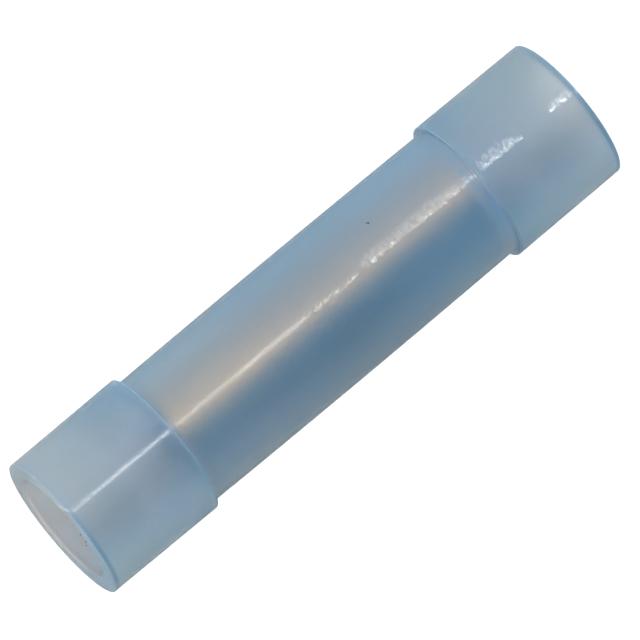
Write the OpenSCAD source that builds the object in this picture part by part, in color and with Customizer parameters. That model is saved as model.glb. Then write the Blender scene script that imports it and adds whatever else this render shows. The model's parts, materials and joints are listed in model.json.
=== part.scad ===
// Insulated butt splice connector for joining two wires end to end.
// A moulded nylon sleeve holds a metal crimp barrel. It stands on one end,
// with its axis on +Z and the middle of its lower end face at the origin.

/* [Crimp barrel] */
// Bore that takes the stripped conductor
barrel_bore = 2.3; // [1.8:0.05:3.2]
// Wall of the barrel
barrel_wall = 0.85; // [0.6:0.05:1.2]
// Length of the barrel
barrel_len = 15; // [13:0.5:17]
// Chamfer on the inner and outer edges of the barrel's ends
barrel_chamfer = 0.15; // [0.05:0.05:0.25]
// Width of the land in the bore that stops the two conductors
stop_w = 1.2; // [0.9:0.1:1.8]
// Height of that land
stop_h = 0.45; // [0.3:0.05:0.6]
// Grip grooves in each half of the bore
grip_count = 3; // [0:1:3]
// Distance between grip grooves, and from the barrel's end to the first
grip_pitch = 1.4; // [1:0.1:1.6]
// Width of a grip groove
grip_w = 0.4; // [0.2:0.05:0.45]
// Depth of a grip groove
grip_depth = 0.1; // [0.05:0.01:0.14]

/* [Sleeve] */
// Length of the sleeve from mouth to mouth
sleeve_len = 26; // [25:0.5:30]
// Wall of the sleeve over the barrel
tube_wall = 0.91; // [0.6:0.01:1.3]
// How far the pressed-in barrel swells the tube at mid-length
tube_swell = 0.04; // [0.01:0.01:0.08]
// Length of each wider end, from mouth to shoulder
flare_len = 5.2; // [4.5:0.1:6]
// Height of the square shoulder over the tube
shoulder_step = 0.25; // [0.15:0.05:0.5]
// Draft of a wider end on the radius, from its shoulder to its mouth
flare_draft = 0.03; // [0.01:0.01:0.08]
// Wall at the mouth
mouth_wall = 0.88; // [0.6:0.04:1.2]
// Radius on the outer edge of the mouth
mouth_round = 0.04; // [0.02:0.02:0.1]
// Radius on the inner edge of the mouth
entry_round = 0.14; // [0.06:0.02:0.24]
// Radius on the outer edge of the shoulder
shoulder_round = 0.04; // [0.02:0.02:0.1]

/* [Funnel] */
// Length of the cone that guides the conductor
funnel_len = 2.4; // [1.8:0.1:2.8]
// Length of the lip that covers the barrel's end
lip_len = 0.2; // [0.1:0.05:0.4]
// How much wider the lip's hole is than the barrel's bore, on the radius
lip_relief = 0.2; // [0.1:0.05:0.3]

/* [Fit] */
// Gap round the barrel in its seat, on the radius
seat_clearance = 0.02; // [0.01:0.01:0.05]

/* [Hidden] */
$fn = 96;
bore_r = barrel_bore / 2;
barrel_r = bore_r + barrel_wall;
seat_r = barrel_r + seat_clearance;
tube_r = seat_r + tube_wall;
shoulder_r = tube_r + shoulder_step;
mouth_r = shoulder_r - flare_draft;
entry_r = mouth_r - mouth_wall;
lip_r = bore_r + lip_relief;
mid_z = sleeve_len / 2;
seat_z = mid_z - barrel_len / 2;
funnel_z = seat_z - lip_len - funnel_len;
crown_steps = 16;

// Radius of the tube at height z: a shallow crown between the shoulders
function crown_r(z) =
    tube_r + tube_swell * (1 - pow((mid_z - z) / (mid_z - flare_len), 2));

// Points of an outline, seen in a mirror at mid-length
function mirrored(points) = [for (p = points) [p[0], sleeve_len - p[1]]];

// The same points, last one first
function reversed(points) =
    [for (i = [len(points) - 1 : -1 : 0]) points[i]];

// Cutter that rounds the corner of an outline at the origin, on its -x -y side
module corner_cut(r) {
    difference() {
        translate([-r, -r]) square(2 * r);
        translate([-r, -r]) circle(r);
    }
}

// Children at the lower end, and mirrored at the upper end
module each_end() {
    children();
    translate([0, sleeve_len]) mirror([0, 1]) children();
}

// Section of the sleeve, from the axis outwards
module sleeve_section() {
    flare = [
        [mouth_r, 0],
        [mouth_r, mouth_round],
        [shoulder_r, flare_len - shoulder_round],
        [shoulder_r, flare_len]
    ];
    tube_len = sleeve_len - 2 * flare_len;
    tube = [
        for (i = [0 : crown_steps])
            let (z = flare_len + tube_len * i / crown_steps) [crown_r(z), z]
    ];
    passage = [
        [entry_r, 0],
        [entry_r, funnel_z],
        [lip_r, funnel_z + funnel_len],
        [lip_r, seat_z],
        [seat_r, seat_z]
    ];
    outside = concat(flare, tube, reversed(mirrored(flare)));
    inside = concat(mirrored(passage), reversed(passage));
    difference() {
        polygon(concat(outside, inside));
        each_end() {
            translate([mouth_r, 0]) mirror([0, 1]) corner_cut(mouth_round);
            translate([entry_r, 0]) rotate(180) corner_cut(entry_round);
            translate([shoulder_r, flare_len]) corner_cut(shoulder_round);
        }
    }
}

// Moulded nylon sleeve: a tube with a wider mouth at each end, and inside
// each mouth a funnel whose lip covers the end of the barrel
module insulation_sleeve() {
    color([0.52, 0.66, 0.76])
        rotate_extrude() sleeve_section();
}

// Section of the barrel before its grooves. The land with sloping sides at
// mid-length is left when the barrel is bored from both ends.
module barrel_section() {
    outside = [
        [barrel_r - barrel_chamfer, seat_z],
        [barrel_r, seat_z + barrel_chamfer]
    ];
    inside = [
        [bore_r + barrel_chamfer, seat_z],
        [bore_r, seat_z + barrel_chamfer],
        [bore_r, mid_z - stop_w / 2],
        [bore_r - stop_h, mid_z - stop_w / 4]
    ];
    polygon(concat(
        outside, reversed(mirrored(outside)),
        mirrored(inside), reversed(inside)
    ));
}

// Section of one grip groove, a shallow V in the wall of the bore
module grip_groove() {
    polygon([[-grip_depth, -grip_w], [grip_depth, 0], [-grip_depth, grip_w]]);
}

// Brass crimp barrel: a turned tube, bored from both ends up to a land where
// the two conductors stop, with grip grooves in its bore
module crimp_barrel() {
    color([0.80, 0.62, 0.34])
        rotate_extrude() difference() {
            barrel_section();
            each_end() for (i = [1 : 1 : grip_count])
                translate([bore_r, seat_z + i * grip_pitch]) grip_groove();
        }
}

insulation_sleeve();
crimp_barrel();
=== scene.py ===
import json
import math

import bmesh
import bpy
from mathutils import Matrix, Vector


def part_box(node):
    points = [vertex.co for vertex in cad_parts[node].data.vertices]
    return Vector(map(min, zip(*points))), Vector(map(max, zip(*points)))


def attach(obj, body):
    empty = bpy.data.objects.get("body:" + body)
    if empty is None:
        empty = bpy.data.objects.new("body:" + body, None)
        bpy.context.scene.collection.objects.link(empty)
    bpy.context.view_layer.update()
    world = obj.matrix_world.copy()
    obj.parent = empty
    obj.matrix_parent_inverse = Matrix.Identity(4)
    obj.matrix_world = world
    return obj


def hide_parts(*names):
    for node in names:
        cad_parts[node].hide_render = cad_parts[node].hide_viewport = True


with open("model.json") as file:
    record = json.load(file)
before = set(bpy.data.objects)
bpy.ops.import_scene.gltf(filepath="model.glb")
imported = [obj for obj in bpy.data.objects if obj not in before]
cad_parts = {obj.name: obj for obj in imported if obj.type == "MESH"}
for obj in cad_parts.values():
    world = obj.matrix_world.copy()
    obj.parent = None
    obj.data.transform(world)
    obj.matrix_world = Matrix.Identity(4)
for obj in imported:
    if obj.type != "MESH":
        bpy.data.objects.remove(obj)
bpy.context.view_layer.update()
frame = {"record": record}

# Crimp barrel: a short tube of brass, turned, bored from both ends and pressed into the sleeve. The
# land left in its bore stops the two conductors, and shallow grooves grip their strands. Only its
# warm glow shows through the nylon.
MM = 0.001
mounts = {mount["name"]: mount for mount in frame["record"]["mounts"]}
barrel_low, barrel_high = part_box("crimp_barrel")
barrel_r = barrel_high.x
barrel_bore_r = mounts["conductor_bore_top"]["dims"]["r_mm"] * MM
barrel_mid = (barrel_low.z + barrel_high.z) / 2
barrel_chamfer = 0.15 * MM
stop_w = 1.2 * MM
stop_h = 0.45 * MM
grip_count = 3
grip_pitch = 1.4 * MM
grip_w = 0.4 * MM
grip_depth = 0.1 * MM
barrel_turns = 160
corner_segments = 5
weld_gap = 0.0001 * MM
crisp_angle = 40


def section(outline):
    """A closed outline in the XZ plane, as a bmesh of edges alone.

    A point is (radius, height), or (radius, height, rounding) where its corner is rounded.
    """
    shell = bmesh.new()
    points = [shell.verts.new((point[0], 0, point[1])) for point in outline]
    for pair in zip(points, points[1:] + points[:1]):
        shell.edges.new(pair)
    for vert, point in zip(points, outline):
        if len(point) == 3:
            bmesh.ops.bevel(
                shell,
                geom=[vert],
                offset=point[2],
                segments=corner_segments,
                profile=0.5,
                affect="VERTICES",
                material=-1,
            )
    return shell


def revolve(shell, turns):
    """Spins a section once round the Z axis into a closed skin."""
    rim = shell.verts[:] + shell.edges[:]
    bmesh.ops.spin(
        shell, geom=rim, axis=(0, 0, 1), cent=(0, 0, 0), angle=2 * math.pi, steps=turns, use_merge=True
    )
    bmesh.ops.remove_doubles(shell, verts=shell.verts, dist=weld_gap)
    bmesh.ops.recalc_face_normals(shell, faces=shell.faces)


def finished(name, shell, materials):
    """A smooth-shaded object made from a bmesh, with its sharper edges kept crisp."""
    mesh = bpy.data.meshes.new(name)
    shell.to_mesh(mesh)
    shell.free()
    for material in materials:
        mesh.materials.append(material)
    mesh.shade_smooth()
    mesh.set_sharp_from_angle(angle=math.radians(crisp_angle))
    piece = bpy.data.objects.new(name, mesh)
    bpy.context.collection.objects.link(piece)
    return piece


class Shade:
    """One output socket of a node tree. Arithmetic on it adds Math nodes."""

    def __init__(self, tree, socket=None):
        self.tree = tree
        self.socket = socket

    def add(self, kind, settings, inputs, output=0):
        """Adds a node: first its settings, then a value or a link for each of its sockets."""
        node = self.tree.nodes.new(kind)
        for setting, value in settings.items():
            if setting == "stops":
                for extra in range(len(value) - 2):
                    node.color_ramp.elements.new(0.5)
                for element, (place, colour) in zip(node.color_ramp.elements, value):
                    element.position = place
                    element.color = (*colour, 1)
            else:
                setattr(node, setting, value)
        for socket, value in inputs.items():
            if isinstance(value, Shade):
                self.tree.links.new(value.socket, node.inputs[socket])
            else:
                node.inputs[socket].default_value = value
        return Shade(self.tree, node.outputs[output] if node.outputs else None)

    def math(self, operation, *values):
        return self.add("ShaderNodeMath", {"operation": operation}, dict(enumerate(values)))

    def __add__(self, other):
        return self.math("ADD", self, other)

    def __sub__(self, other):
        return self.math("SUBTRACT", self, other)

    def __rsub__(self, other):
        return self.math("SUBTRACT", other, self)

    def __mul__(self, other):
        return self.math("MULTIPLY", self, other)

    __radd__ = __add__
    __rmul__ = __mul__


def new_material(name):
    """An empty node material, with the handle that adds its nodes."""
    material = bpy.data.materials.new(name)
    material.use_nodes = True
    material.node_tree.nodes.clear()
    return material, Shade(material.node_tree)


def stretched(shade, place, scale):
    """A place with its axes scaled one by one, for noise that is drawn out."""
    return shade.add("ShaderNodeMapping", {}, {"Vector": place, "Scale": scale})


def noise(shade, place, scale, detail):
    """Soft random grey, about 1 / scale metres from one grain to the next."""
    return shade.add("ShaderNodeTexNoise", {}, {"Vector": place, "Scale": scale, "Detail": detail})


dark_brass = (0.94, 0.64, 0.19)
light_brass = (0.98, 0.69, 0.23)
barrel_brass, brass = new_material("barrel_brass")
brass_place = brass.add("ShaderNodeTexCoord", {}, {}, "Object")
draw_lines = noise(brass, stretched(brass, brass_place, (9000, 9000, 350)), 1, 3)
brass_tone = brass.add(
    "ShaderNodeValToRGB", {"stops": [(0.3, dark_brass), (0.7, light_brass)]}, {"Fac": draw_lines}
)
brass_bump = brass.add(
    "ShaderNodeBump", {}, {"Height": draw_lines, "Strength": 0.15, "Distance": 0.01 * MM}
)
brass_metal = brass.add(
    "ShaderNodeBsdfPrincipled",
    {},
    {"Base Color": brass_tone, "Metallic": 1, "Roughness": 0.26 + draw_lines * 0.12, "Normal": brass_bump},
)
brass.add("ShaderNodeOutputMaterial", {}, {"Surface": brass_metal})

lower_bore = []
for number in range(1, grip_count + 1):
    groove = barrel_low.z + number * grip_pitch
    lower_bore += [
        (barrel_bore_r, groove - grip_w / 2),
        (barrel_bore_r + grip_depth, groove),
        (barrel_bore_r, groove + grip_w / 2),
    ]
lower_bore += [(barrel_bore_r, barrel_mid - stop_w / 2), (barrel_bore_r - stop_h, barrel_mid - stop_w / 4)]
upper_bore = [(r, 2 * barrel_mid - z) for r, z in lower_bore]
barrel_outline = [
    (barrel_bore_r, barrel_low.z, barrel_chamfer),
    (barrel_r, barrel_low.z, barrel_chamfer),
    (barrel_r, barrel_high.z, barrel_chamfer),
    (barrel_bore_r, barrel_high.z, barrel_chamfer),
    *upper_bore,
    *reversed(lower_bore),
]
barrel_shell = section(barrel_outline)
revolve(barrel_shell, barrel_turns)
barrel = finished("crimp_barrel_tube", barrel_shell, [barrel_brass])
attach(barrel, "root")
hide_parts("crimp_barrel")

# Insulation sleeve: one piece of hazy, pale blue nylon, injection moulded round a stepped core.
# A slightly crowned tube grips the barrel, and each end is wider, with a square shoulder, an
# entry for the wire's insulation and a funnel whose lip covers the barrel's end.
sleeve_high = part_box("insulation_sleeve")[1]
sleeve_len = sleeve_high.z
rim_z = sleeve_len / 2
flare_len = 5.2 * MM
tube_half = rim_z - flare_len
flare_draft = 0.03 * MM
shoulder_step = 0.25 * MM
shoulder_r = sleeve_high.x
mouth_r = shoulder_r - flare_draft
tube_r = shoulder_r - shoulder_step
tube_swell = 0.04 * MM
seat_clearance = 0.02 * MM
seat_r = barrel_r + seat_clearance
entry_r = mounts["insulation_entry_top"]["dims"]["r_mm"] * MM
lip_relief = 0.2 * MM
lip_len = 0.2 * MM
funnel_len = 2.4 * MM
lip_r = barrel_bore_r + lip_relief
lip_z = barrel_low.z - lip_len
funnel_z = lip_z - funnel_len
mouth_round = 0.04 * MM
entry_round = 0.14 * MM
shoulder_round = 0.04 * MM
foot_round = 0.05 * MM
funnel_round = 0.2 * MM
lip_round = 0.05 * MM
inside_margin = 0.1 * MM
outside_step = 0.1 * MM
sleeve_turns = 248
lower_outside = [
    (mouth_r, 0, mouth_round),
    (shoulder_r, flare_len, shoulder_round),
    (tube_r, flare_len, foot_round),
]
lower_passage = [
    (entry_r, 0, entry_round),
    (entry_r, funnel_z, funnel_round),
    (lip_r, lip_z, lip_round),
    (lip_r, barrel_low.z),
    (seat_r, barrel_low.z),
]


def upper_end(points):
    """The same points at the sleeve's other end."""
    return [(r, sleeve_len - z, *rounding) for r, z, *rounding in points]


sleeve_outline = [
    *lower_outside,
    *reversed(upper_end(lower_outside)),
    *upper_end(lower_passage),
    *reversed(lower_passage),
]
sleeve_shell = section(sleeve_outline)
outside_edges = [edge for edge in sleeve_shell.edges if all(vert.co.x > entry_r for vert in edge.verts)]
for edge in outside_edges:
    cuts = int(edge.calc_length() / outside_step)
    if cuts:
        bmesh.ops.subdivide_edges(sleeve_shell, edges=[edge], cuts=cuts)
revolve(sleeve_shell, sleeve_turns)
for vert in sleeve_shell.verts:
    from_middle = abs(vert.co.z - rim_z)
    if vert.co.xy.length > seat_r + inside_margin and from_middle < tube_half:
        swell = tube_swell * (1 - (from_middle / tube_half) ** 2)
        vert.co.xy *= 1 + swell / vert.co.xy.length
for face in sleeve_shell.faces:
    face.material_index = int(face.calc_center_median().xy.length < entry_r + inside_margin)

DEGREE = math.radians(1)
NYLON_IOR = 1.53


def axis(shade, place, name):
    """One coordinate of a place."""
    return shade.add("ShaderNodeSeparateXYZ", {}, {"Vector": place}, name)


def rise(value, start, end, unit=1):
    """Goes smoothly from 0 to 1 while a value goes from start to end, given in a unit."""
    return value.add(
        "ShaderNodeMapRange",
        {"interpolation_type": "SMOOTHSTEP"},
        {"Value": value, "From Min": start * unit, "From Max": end * unit},
    )


def between(value, start, full, past, end, unit=1):
    """1 while a value goes from full to past, fading smoothly to 0 at start and at end."""
    return rise(value, start, full, unit) * rise(value, end, past, unit)


def tinted(shade, base, share, tint):
    """A colour with a share of another mixed in."""
    return shade.add("ShaderNodeMix", {"data_type": "RGBA"}, {0: share, 6: base, 7: tint}, 2)


def away_from(shade, place, spot):
    """How far a place is from one spot."""
    return shade.add("ShaderNodeVectorMath", {"operation": "DISTANCE"}, {0: place, 1: spot}, "Value")


def dirtied(shade, place, skin, specks, cover):
    """The skin with small dark specks on it, each one a place and a radius in mm."""
    dirt = 0
    for *spot, speck_r in specks:
        off_speck = away_from(shade, place, tuple(part * MM for part in spot))
        dirt = dirt + rise(off_speck, speck_r, speck_r / 2, MM)
    speck_colour = (0.02, 0.025, 0.03, 1)
    speck = shade.add("ShaderNodeBsdfPrincipled", {}, {"Base Color": speck_colour, "Roughness": 0.7})
    return shade.add("ShaderNodeMixShader", {}, {"Fac": dirt * cover, 1: skin, 2: speck})


hazy_nylon, nylon = new_material("hazy_nylon")
nylon_place = nylon.add("ShaderNodeTexCoord", {}, {}, "Object")
nylon_x = axis(nylon, nylon_place, "X")
nylon_y = axis(nylon, nylon_place, "Y")
nylon_z = axis(nylon, nylon_place, "Z")
nylon_turn = nylon.math("ARCTAN2", nylon_x, 0 - nylon_y)
nylon_r = nylon.math("SQRT", nylon_x * nylon_x + nylon_y * nylon_y)
off_middle = nylon.math("ABSOLUTE", nylon_z - rim_z)


def along_sleeve(levels, height):
    """A value or a colour that changes along the sleeve, given at heights in mm."""
    stops = []
    for at, level in levels.items():
        colour = level if isinstance(level, tuple) else (level,) * 3
        stops.append((at * MM / sleeve_len, colour))
    return nylon.add("ShaderNodeValToRGB", {"stops": stops}, {"Fac": height * (1 / sleeve_len)})


def on_outside(radius, turn, height):
    """A spot on the sleeve, at a turn in degrees from the camera's side and a height in mm."""
    return (radius * math.sin(turn * DEGREE), -radius * math.cos(turn * DEGREE), height * MM)


# Parts of the surface: rims, end faces, flares, shoulder edges and the tube's ends
past_rim = off_middle - rim_z
past_step = off_middle - tube_half
# Painted shade: a darker blue band along the rims' outer edges, weaker on the lit side of the upper rim
lit_rim = rise(nylon_z, rim_z, sleeve_len) * rise(nylon_turn, -5, 10, DEGREE)
on_rim = rise(nylon_r - mouth_r, -0.08, -0.04, MM) * (1 - lit_rim * 0.6)
painted_rim_band = rise(past_rim, -0.24, -0.12, MM) * on_rim
# Painted shade on the end faces: a deeper blue over their lower part and a darker tone over their back
# part
on_face = rise(past_rim, -0.06, -0.02, MM)
low_face = on_face * rise(nylon_x, 0.4, -1.4, MM)
back_face = on_face * rise(nylon_y, 0.5, 2, MM)
off_tube = rise(nylon_r - tube_r, 0.05, 0.1, MM)
on_step = between(past_step, -0.12, -0.06, 0.06, 0.12, MM)
on_edge = on_step * off_tube
at_foot = rise(past_step, -0.3, -0.1, MM) * (1 - off_tube)
# Painted highlight: a paler glow in the tube's foot next to the bright line
painted_foot_glow = at_foot * between(nylon_turn, -5, 5, 12, 25, DEGREE)

# Tone of the haze, partly its own and partly painted light: it changes along the sleeve, and a second,
# painted tone stands on the side turned down, much paler on the flares
clouds = noise(nylon, nylon_place, 260, 4)
cloud_shift = 1.0 * MM
tone_height = nylon_z + clouds * cloud_shift - cloud_shift / 2
upper_tone = along_sleeve(
    {
        0.6: (0.205, 0.43, 0.58),
        3.6: (0.124, 0.40, 0.62),
        4.8: (0.094, 0.38, 0.62),
        5.6: (0.086, 0.40, 0.69),
        8.5: (0.086, 0.40, 0.69),
        13.0: (0.080, 0.375, 0.645),
        17.5: (0.094, 0.415, 0.70),
        20.6: (0.11, 0.43, 0.70),
        20.9: (0.24, 0.51, 0.78),
        21.5: (0.14, 0.43, 0.69),
        23.4: (0.20, 0.42, 0.61),
        25.4: (0.30, 0.46, 0.60),
    },
    tone_height,
)
lower_side_painted_tone = along_sleeve(
    {
        0.6: (0.42, 0.71, 0.92),
        2.0: (0.36, 0.70, 0.96),
        3.6: (0.24, 0.63, 0.91),
        4.8: (0.075, 0.50, 0.83),
        5.6: (0.07, 0.44, 0.78),
        8.5: (0.07, 0.43, 0.77),
        13.0: (0.05, 0.345, 0.62),
        17.5: (0.075, 0.42, 0.75),
        20.6: (0.12, 0.48, 0.84),
        20.9: (0.30, 0.64, 0.96),
        21.5: (0.19, 0.56, 0.87),
        23.4: (0.39, 0.71, 0.96),
        25.4: (0.49, 0.76, 0.96),
    },
    tone_height,
)
painted_rim_blue = (0.10, 0.33, 0.54, 1)
painted_face_blue = (0.08, 0.36, 0.60, 1)
painted_glow_grey = (0.42, 0.55, 0.62, 1)
painted_edge_blue = (0.14, 0.28, 0.42, 1)
painted_curl_white = (0.75, 0.82, 0.90, 1)
side_start = off_tube * -7 - 3
side_end = off_tube * -20 - 30
low_tube = (1 - off_tube) * rise(nylon_turn, -35, -60, DEGREE)
round_back = rise(nylon_turn, -170, -130, DEGREE)
# Painted light: the side turned down gets its own painted tone
painted_lower_side = rise(nylon_turn, side_start, side_end, DEGREE) * round_back * (1 - low_tube * 0.5)
painted_upper_side = between(nylon_turn, 35, 60, 130, 170, DEGREE)
painted_side_tone = tinted(nylon, upper_tone, painted_lower_side, lower_side_painted_tone)
rim_shaded_tone = tinted(nylon, painted_side_tone, painted_rim_band, painted_rim_blue)
face_shaded_tone = tinted(nylon, rim_shaded_tone, low_face * 0.85, painted_face_blue)
foot_glow_tone = tinted(nylon, face_shaded_tone, painted_foot_glow * 0.35, painted_glow_grey)
# Painted shade: the shoulder edges are tinted a darker blue
edge_shaded_tone = tinted(nylon, foot_glow_tone, on_edge, painted_edge_blue)

# Curl: a painted highlight, the colour whitened along the line where the bright line would bend up into
# the rounded rim of the upper mouth, laid out along the camera's view
curl_foot = 24.93 * MM
curl_drop = 0.33 * MM
curl_from = 1.15 * MM
curl_reach = 0.87 * MM
sight_up, sight_in = 0.977, 0.2131
curl_along = nylon.math("MINIMUM", (curl_from - nylon_x) * (1 / curl_reach), 1)
curl_at = curl_foot - curl_along * curl_along * curl_drop
off_curl = nylon.math("ABSOLUTE", nylon_z * sight_up + nylon_y * sight_in - curl_at)
curl_end = between(nylon_x, 0.25, 0.35, 1.0, 1.25, MM) * rise(nylon_y, -1, -2, MM)
curl = rise(off_curl, 0.055, 0.02, MM) * curl_end * rise(nylon_z, 25.7, 25.8, MM)
curl_highlight_tone = tinted(nylon, edge_shaded_tone, curl * 0.5, painted_curl_white)
# Painted light and shade: paler on the side turned up and in the tube's foot, darker on the back part of
# the end faces
painted_light_scale = 1 + painted_upper_side * 0.06 + at_foot * 0.2 - back_face * 0.25
haze_and_painted_light = nylon.add("ShaderNodeVectorMath", {"operation": "SCALE"}, {0: curl_highlight_tone, "Scale": painted_light_scale})

# Wear: rubbed, ragged patches along the bright line near the lower end, with a few glossy dots
streaks = noise(nylon, stretched(nylon, nylon_place, (3500, 3500, 9000)), 1, 1)
ragged = nylon_turn + (streaks - 0.5) * (6 * DEGREE)
worn_top = 15 * along_sleeve(
    {2.8: 0.35, 3.3: 0.8, 3.8: 0.97, 5.0: 0.97, 5.5: 0.83, 6.5: 0.83, 7.5: 1.0}, nylon_z
)
worn_round = rise(ragged, 3.2, 4.6, DEGREE) * rise(ragged, worn_top + 3, worn_top - 3, DEGREE)
shoulder_gap = between(nylon_z, 4.9, 5.05, 5.28, 5.36, MM)
worn_along = between(nylon_z, 2.75, 3.0, 10.7, 11.3, MM) * (1 - shoulder_gap)
worn_end = between(ragged, 4.5, 6, 9, 15, DEGREE) * between(nylon_z, 0.15, 0.35, 1.1, 1.5, MM)
streaky = 0.35 + rise(streaks, 0.4, 0.58) * 0.65
worn = (worn_round * worn_along + worn_end) * streaky
off_plume = away_from(nylon, nylon_place, on_outside(tube_r, 11, 20.66))
plume = rise(off_plume, 0.3, 0.05, MM) * 0.6
dots = 0
for dot_z, dot_turn, dot_r in (
    (0.62, 5.7, 0.09), (0.73, 6.6, 0.08), (1.24, 5.7, 0.06), (1.33, 6.4, 0.07), (2.90, 4.2, 0.05),
    (3.05, 4.8, 0.05), (3.42, 6.7, 0.05), (3.50, 5.7, 0.06), (3.70, 6.6, 0.07), (3.80, 5.8, 0.05),
    (4.27, 5.5, 0.05), (4.38, 6.2, 0.06), (4.58, 5.6, 0.05), (4.68, 6.6, 0.06),
):
    off_dot = away_from(nylon, nylon_place, on_outside(mouth_r, dot_turn, dot_z))
    dots = dots + rise(off_dot, dot_r, dot_r * 0.6, MM)
dots = nylon.math("MINIMUM", dots, 1)
facing = nylon.math("MAXIMUM", nylon.math("MAXIMUM", worn, dots), plume)

# Lie of the surface: worn spots face the strip light, and where the bright line is missing or
# broken the surface leans away from it
mirror_turn = 5 * DEGREE
speckle = noise(nylon, nylon_place, 12000, 1)
broken = rise(speckle, 0.45, 0.56)
line_missing = along_sleeve(
    {
        11.0: 1.0, 11.5: 0.35, 14.0: 0.35, 14.4: 0.0, 20.7: 0.0,
        20.76: 1.0, 20.88: 1.0, 20.93: 0.0, 25.82: 0.0, 25.9: 1.0,
    },
    nylon_z,
)
line_broken = along_sleeve(
    {11.0: 0.0, 11.5: 0.65, 14.0: 0.65, 14.5: 0.4, 20.7: 0.4, 20.9: 0.28, 25.7: 0.28, 25.9: 0.0},
    nylon_z,
)
missing = (line_missing + broken * line_broken) * (1 - facing)
tilt = (nylon_turn - mirror_turn) * facing * 0.88
nylon_normal = nylon.add("ShaderNodeNewGeometry", {}, {}, "Normal")
keep = nylon.add("ShaderNodeCombineXYZ", {}, {"X": 1.0, "Y": 1.0, "Z": 1 - on_step})
level_normal = nylon.add("ShaderNodeVectorMath", {"operation": "MULTIPLY"}, {0: nylon_normal, 1: keep})
lean = nylon.add(
    "ShaderNodeCombineXYZ",
    {},
    {
        "X": (nylon_x * on_step + nylon_y * tilt) * (1 / tube_r),
        "Y": (nylon_y * on_step - nylon_x * tilt) * (1 / tube_r),
        "Z": missing * 0.16,
    },
)
leaning = nylon.add("ShaderNodeVectorMath", {"operation": "ADD"}, {0: level_normal, 1: lean})
worn_normal = nylon.add("ShaderNodeVectorMath", {"operation": "NORMALIZE"}, {0: leaning})
grain_height = 0.0014 * MM
streak_height = 0.0025 * MM
grain = noise(nylon, nylon_place, 3600, 2)
waves = grain * grain_height + streaks * (facing - dots) * streak_height
nylon_bump = nylon.add("ShaderNodeBump", {}, {"Height": waves, "Distance": 1, "Normal": worn_normal})

# Gloss: satin along the bright line, duller where worn and on the shoulder edges, with glints
glint_along = along_sleeve(
    {
        2.7: 1.0, 2.95: 0.3, 3.3: 1.0, 3.75: 1.0, 4.0: 0.25,
        4.2: 1.0, 4.65: 1.0, 4.95: 0.2, 5.25: 1.0, 10.8: 0.7,
    },
    nylon_z,
)
low_edge = rise(nylon_turn, 9, 6, DEGREE) * glint_along
shine = rise(speckle, 0.5, 0.6) * facing * (0.3 + low_edge * 0.4)
matt = along_sleeve({11.4: 0.14, 14.0: 0.16, 20.7: 0.18, 20.9: 0.14}, nylon_z)
worn_matt = 0.31 - off_tube * 0.06
gloss = (matt + facing * (worn_matt - matt)) * (1 - shine) * (1 - dots * 0.65) + on_edge * 0.35
milky = nylon.add(
    "ShaderNodeBsdfPrincipled",
    {},
    {
        "Base Color": haze_and_painted_light,
        "Roughness": gloss,
        "IOR": NYLON_IOR,
        "Specular IOR Level": 1.0,
        "Subsurface Weight": 1.0,
        "Subsurface Radius": (0.6, 0.8, 1.0),
        "Subsurface Scale": 1.0 * MM,
        "Normal": nylon_bump,
    },
)
clear_cream = (1.0, 0.925, 0.77, 1)
clear = nylon.add(
    "ShaderNodeBsdfPrincipled",
    {},
    {
        "Base Color": clear_cream,
        "Roughness": 0.5,
        "IOR": NYLON_IOR,
        "Specular IOR Level": 0.0,
        "Transmission Weight": 1.0,
    },
)

# See-through share: clearer round the bore and over the upper half of the barrel
by_bore = rise(nylon_r - entry_r, 0.6, 0.1, MM)
near_tube = rise(nylon_z, 13, 18, MM) * (1 - off_tube)
# Less see-through on the tube just below the bright line, dimming it there as painted shade, and under the
# painted shoulder-edge shade and the painted curl highlight
dim_tube = between(nylon_turn, -70, -40, -15, 4, DEGREE) * (1 - off_tube)
hidden = dim_tube * 0.07 + on_edge * 0.4 + curl * 0.35
see_through = 0.55 + by_bore * (1 - low_face) * 0.15 + near_tube * 0.06 - hidden
nylon_skin = nylon.add("ShaderNodeMixShader", {}, {"Fac": see_through, 1: milky, 2: clear})
tube_specks = [(1.512, -2.548, 9.60, 0.05), (1.56, -2.52, 9.64, 0.035)]
nylon_dirtied = dirtied(nylon, nylon_place, nylon_skin, tube_specks, 1.0)
nylon.add("ShaderNodeOutputMaterial", {}, {"Surface": nylon_dirtied})

# Inside of the sleeve: the same nylon, clear along the barrel and a little cloudy in the upper mouth, with
# painted light there, whiter on the lit side and greyer on the other
mouth_shaded_grey = (0.66, 0.68, 0.80, 1)
mouth_lit_white = (0.95, 0.93, 1.0, 1)
passage_lilac = (0.955, 0.89, 1.0, 1)
cloud_shaded_grey = (0.55, 0.68, 0.78, 1)
cloud_lit_white = (0.86, 0.95, 1.0, 1)
bore_nylon, bore = new_material("bore_nylon")
bore_place = bore.add("ShaderNodeTexCoord", {}, {}, "Object")
bore_x = axis(bore, bore_place, "X")
bore_z = axis(bore, bore_place, "Z")
bore_depth = rim_z - bore.math("ABSOLUTE", bore_z - rim_z)
in_mouth = rise(bore_depth, funnel_z, funnel_z - 0.5 * MM)
below_rim = rise(bore_depth, 0.1, 0.3, MM)
bore_clouds = noise(bore, bore_place, 700, 2)
bore_shift = 2 * MM
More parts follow.
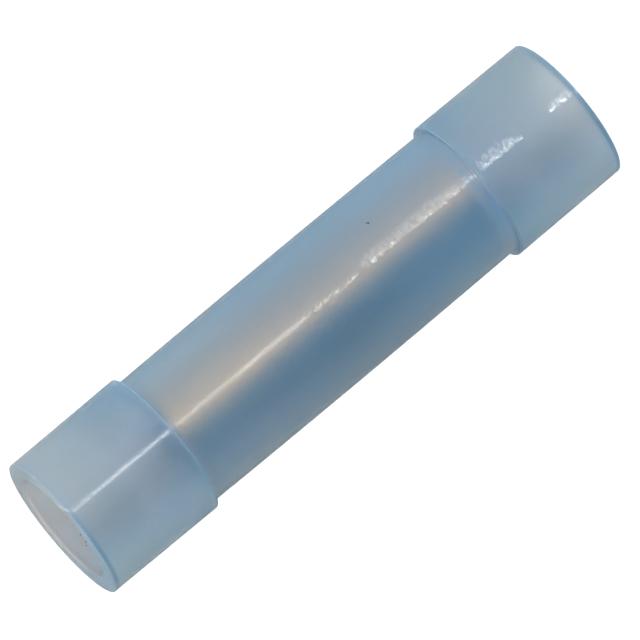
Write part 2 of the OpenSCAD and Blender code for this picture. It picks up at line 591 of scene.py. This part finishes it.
# Painted light: whiter and cloudier on the lit side, greyer on the other
painted_lit_side = rise(bore_x + bore_clouds * bore_shift - bore_shift / 2, -1.6, 1.6, MM)
painted_pale_side = rise(bore_x, 0.6, 1.3, MM)
painted_mouth_tone = tinted(bore, mouth_shaded_grey, painted_lit_side, mouth_lit_white)
bore_tone = tinted(bore, passage_lilac, in_mouth, painted_mouth_tone)
bore_clear = bore.add(
    "ShaderNodeBsdfPrincipled",
    {},
    {"Base Color": bore_tone, "Roughness": 0.35, "Transmission Weight": 1.0, "IOR": NYLON_IOR},
)
painted_cloud_tone = tinted(bore, cloud_shaded_grey, painted_lit_side, cloud_lit_white)
bore_haze = bore.add("ShaderNodeBsdfPrincipled", {}, {"Base Color": painted_cloud_tone, "Roughness": 0.5})
bore_cloud = in_mouth * below_rim * rise(bore_z, rim_z, sleeve_len) * (0.42 + painted_pale_side * 0.25)
bore_skin = bore.add("ShaderNodeMixShader", {}, {"Fac": bore_cloud, 1: bore_clear, 2: bore_haze})
bore_specks = [(-0.62, 2.184, 25.17, 0.06), (-0.968, 2.053, 25.23, 0.055), (-1.084, 1.994, 25.32, 0.04)]
bore_dirtied = dirtied(bore, bore_place, bore_skin, bore_specks, 0.55)
bore.add("ShaderNodeOutputMaterial", {}, {"Surface": bore_dirtied})
sleeve = finished("insulation_sleeve_moulding", sleeve_shell, [hazy_nylon, bore_nylon])
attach(sleeve, "root")
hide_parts("insulation_sleeve")

# Floor: a plain white sheet that the connector stands on. Only the camera sees it, so that the
# light from all round, also from below, reaches the connector as in the photograph.
floor_half = 2.0
floor_grey = (0.2, 0.2, 0.2, 1)
pure_white = (1, 1, 1, 1)
floor_sheet = bmesh.new()
bmesh.ops.create_grid(floor_sheet, x_segments=1, y_segments=1, size=floor_half)
floor_white, white = new_material("floor_white")
sheet_skin = white.add(
    "ShaderNodeBsdfPrincipled",
    {},
    {"Base Color": floor_grey, "Roughness": 0.8, "Emission Color": pure_white, "Emission Strength": 1.0},
)
white.add("ShaderNodeOutputMaterial", {}, {"Surface": sheet_skin})
floor = finished("floor", floor_sheet, [floor_white])
floor.visible_glossy = False
floor.visible_diffuse = False
floor.visible_transmission = False
floor.visible_shadow = False

# Studio: soft white light all round, strongest on the camera's right-hand side and behind, with a
# dim stretch on the left, and a strip light whose mirror image is the thin line along the sleeve.
round_glow = {
    -180: 0.53, -150: 0.41, -120: 0.27, -90: 0.33, -60: 0.08, -30: 0.12,
    0: 0.62, 30: 1.24, 60: 0.92, 90: 0.67, 120: 0.69, 150: 0.72, 180: 0.53,
}
ramp_top = 2.0
light_above = 1.5
light_below = 1.58
world = bpy.data.worlds.new("studio")
world.use_nodes = True
world.node_tree.nodes.clear()
studio = Shade(world.node_tree)
way = studio.add("ShaderNodeTexCoord", {}, {}, "Generated")
way_x = axis(studio, way, "X")
way_y = axis(studio, way, "Y")
way_z = axis(studio, way, "Z")
bearing = studio.math("ARCTAN2", way_x, 0 - way_y) * (1 / math.tau) + 0.5
round_light = studio.add(
    "ShaderNodeValToRGB",
    {"stops": [(0.5 + turn / 360, (glow / ramp_top,) * 3) for turn, glow in round_glow.items()]},
    {"Fac": bearing},
)
upward = studio.math("MAXIMUM", way_z, 0)
downward = studio.math("MAXIMUM", 0 - way_z, 0)
level = round_light * ramp_top * (1 - way_z * way_z)
studio_glow = level + upward * upward * light_above + downward * downward * light_below
seen_directly = studio.add("ShaderNodeLightPath", {}, {}, "Is Camera Ray")
sky = studio.add("ShaderNodeBackground", {}, {"Color": pure_white, "Strength": studio_glow})
backdrop = studio.add("ShaderNodeBackground", {}, {"Color": pure_white, "Strength": 1.0})
surroundings = studio.add("ShaderNodeMixShader", {}, {"Fac": seen_directly, 1: sky, 2: backdrop})
studio.add("ShaderNodeOutputWorld", {}, {"Surface": surroundings})
scene = bpy.context.scene
scene.world = world

middle = Vector((0, 0, rim_z))
strip_turn = 9.9 * DEGREE
strip_lift = -12.3 * DEGREE
strip_distance = 300 * MM
strip_level = math.cos(strip_lift)
strip_way = Vector(
    (math.sin(strip_turn) * strip_level, -math.cos(strip_turn) * strip_level, math.sin(strip_lift))
)
strip = bpy.data.lights.new("strip_below", "AREA")
strip.shape = "RECTANGLE"
strip.size = 20 * MM
strip.size_y = 90 * MM
strip.energy = 0.092
strip_lamp = bpy.data.objects.new("strip_below", strip)
strip_lamp.location = middle + strip_way * strip_distance
strip_lamp.rotation_mode = "QUATERNION"
strip_lamp.rotation_quaternion = strip_way.to_track_quat("Z", "Y")
bpy.context.collection.objects.link(strip_lamp)

# Camera: above and in front of the connector, rolled so that it lies across the picture as in the
# photograph, with a long lens.
eye_height = 12.302 * DEGREE
eye_distance = 385.05 * MM
roll = -129.805691 * DEGREE
shift_x = 0.143 * MM
shift_y = -0.101 * MM
right = Vector((1, 0, 0))
back = Vector((0, -math.cos(eye_height), math.sin(eye_height)))
above = back.cross(right)
picture_x = math.cos(roll) * right + math.sin(roll) * above
picture_y = math.cos(roll) * above - math.sin(roll) * right
eye = middle + back * eye_distance + shift_x * picture_x + shift_y * picture_y
lens = bpy.data.cameras.new("camera")
lens.sensor_width = 36
lens.lens = 559.6
camera = bpy.data.objects.new("camera", lens)
facing_way = Matrix((picture_x, picture_y, back)).transposed().to_4x4()
camera.matrix_world = Matrix.Translation(eye) @ facing_way
bpy.context.collection.objects.link(camera)
scene.camera = camera
scene.view_settings.view_transform = "Standard"
scene.cycles.use_denoising = True
